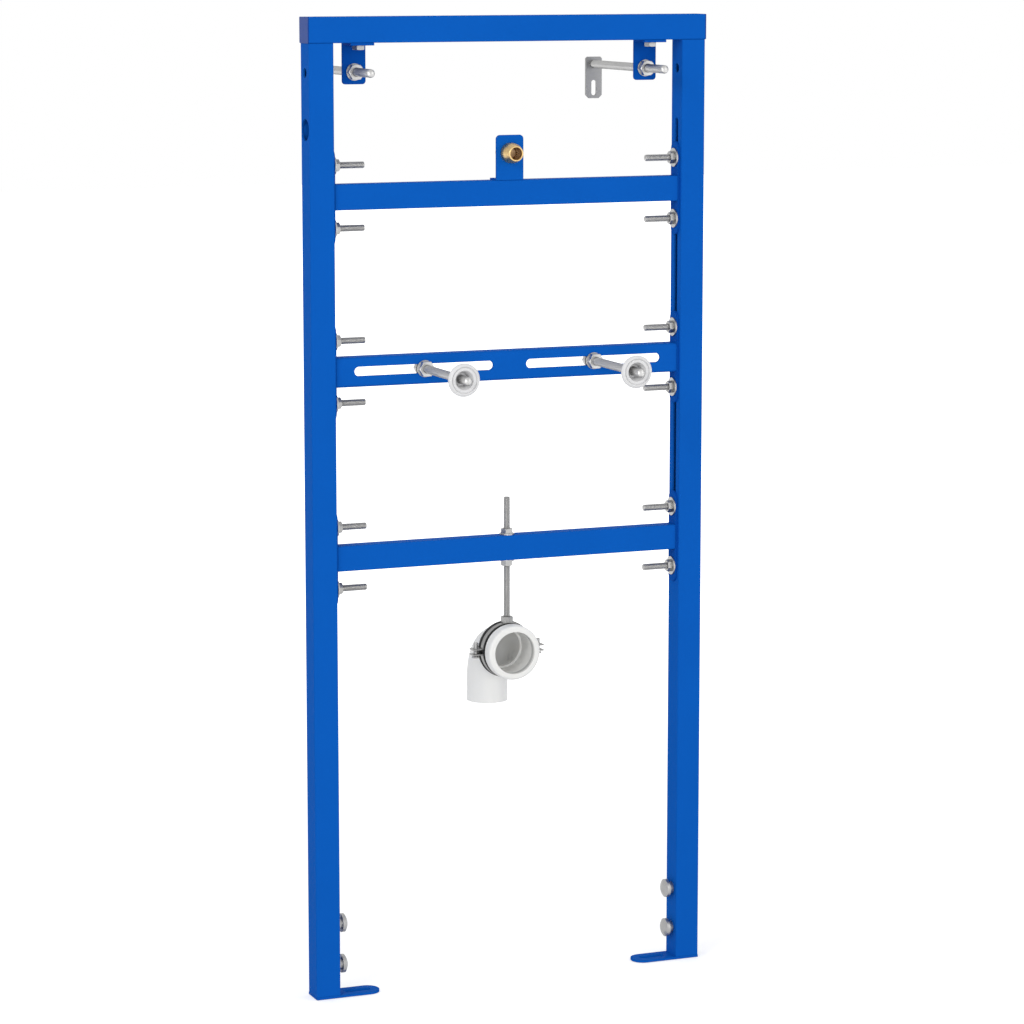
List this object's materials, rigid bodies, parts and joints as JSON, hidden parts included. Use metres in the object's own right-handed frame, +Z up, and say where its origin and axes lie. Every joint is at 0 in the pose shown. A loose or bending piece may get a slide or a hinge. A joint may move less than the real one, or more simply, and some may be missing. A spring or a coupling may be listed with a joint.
{
  "type": "urinal installation frame",
  "caption": "Upright steel installation frame for a wall-hung urinal, with wall stays, water fitting, bowl fixing studs and a clamped waste bend.",
  "frame": {"origin": "underside of the left foot, on the axis of the left leg, left as seen from the front", "axes": "+X from the left leg to the right leg, +Y from the front back to the wall, +Z up along the legs"},
  "size_m": [0.5024, 0.32, 1.16],
  "materials": {
    "blue_paint": "semi-gloss blue powder coat",
    "plug_plastic": "dark blue moulded plastic",
    "zinc": "bright zinc plate",
    "brass": "turned brass",
    "cap_plastic": "white moulded plastic",
    "pipe_plastic": "smooth white pipe plastic",
    "black_rubber": "matt black rubber"
  },
  "bodies": {
    "root": {"left_leg": "blue_paint", "right_leg": "blue_paint", "top_rail": "blue_paint", "rail_end_plugs": "plug_plastic", "upper_rail": "blue_paint", "slotted_rail": "blue_paint", "lower_rail": "blue_paint", "upper_left_end_plate": "blue_paint", "upper_right_end_plate": "blue_paint", "slotted_left_end_plate": "blue_paint", "slotted_right_end_plate": "blue_paint", "lower_left_end_plate": "blue_paint", "lower_right_end_plate": "blue_paint", "side_bolts": "zinc", "side_washers": "zinc", "side_nuts": "zinc", "left_foot": "blue_paint", "right_foot": "blue_paint", "foot_clamp_bolts": "zinc", "left_top_bracket": "blue_paint", "right_top_bracket": "blue_paint", "bracket_screws": "zinc", "left_wall_stud": "zinc", "right_wall_stud": "zinc", "left_wall_plate": "zinc", "right_wall_plate": "zinc", "wall_stud_nuts": "zinc", "wall_stud_washers": "zinc", "water_bracket": "blue_paint", "water_fitting": "brass", "fitting_lock_nut": "brass", "left_fixing_stud": "zinc", "right_fixing_stud": "zinc", "left_fixing_cap": "cap_plastic", "right_fixing_cap": "cap_plastic", "fixing_nuts": "zinc", "fixing_washers": "zinc", "hanger_rod": "zinc", "hanger_nuts": "zinc", "clamp_upper_half": "zinc", "clamp_lower_half": "zinc", "clamp_lining": "black_rubber", "clamp_screws": "zinc", "waste_bend": "pipe_plastic", "socket_seal": "black_rubber"}
  },
  "joints": []
}
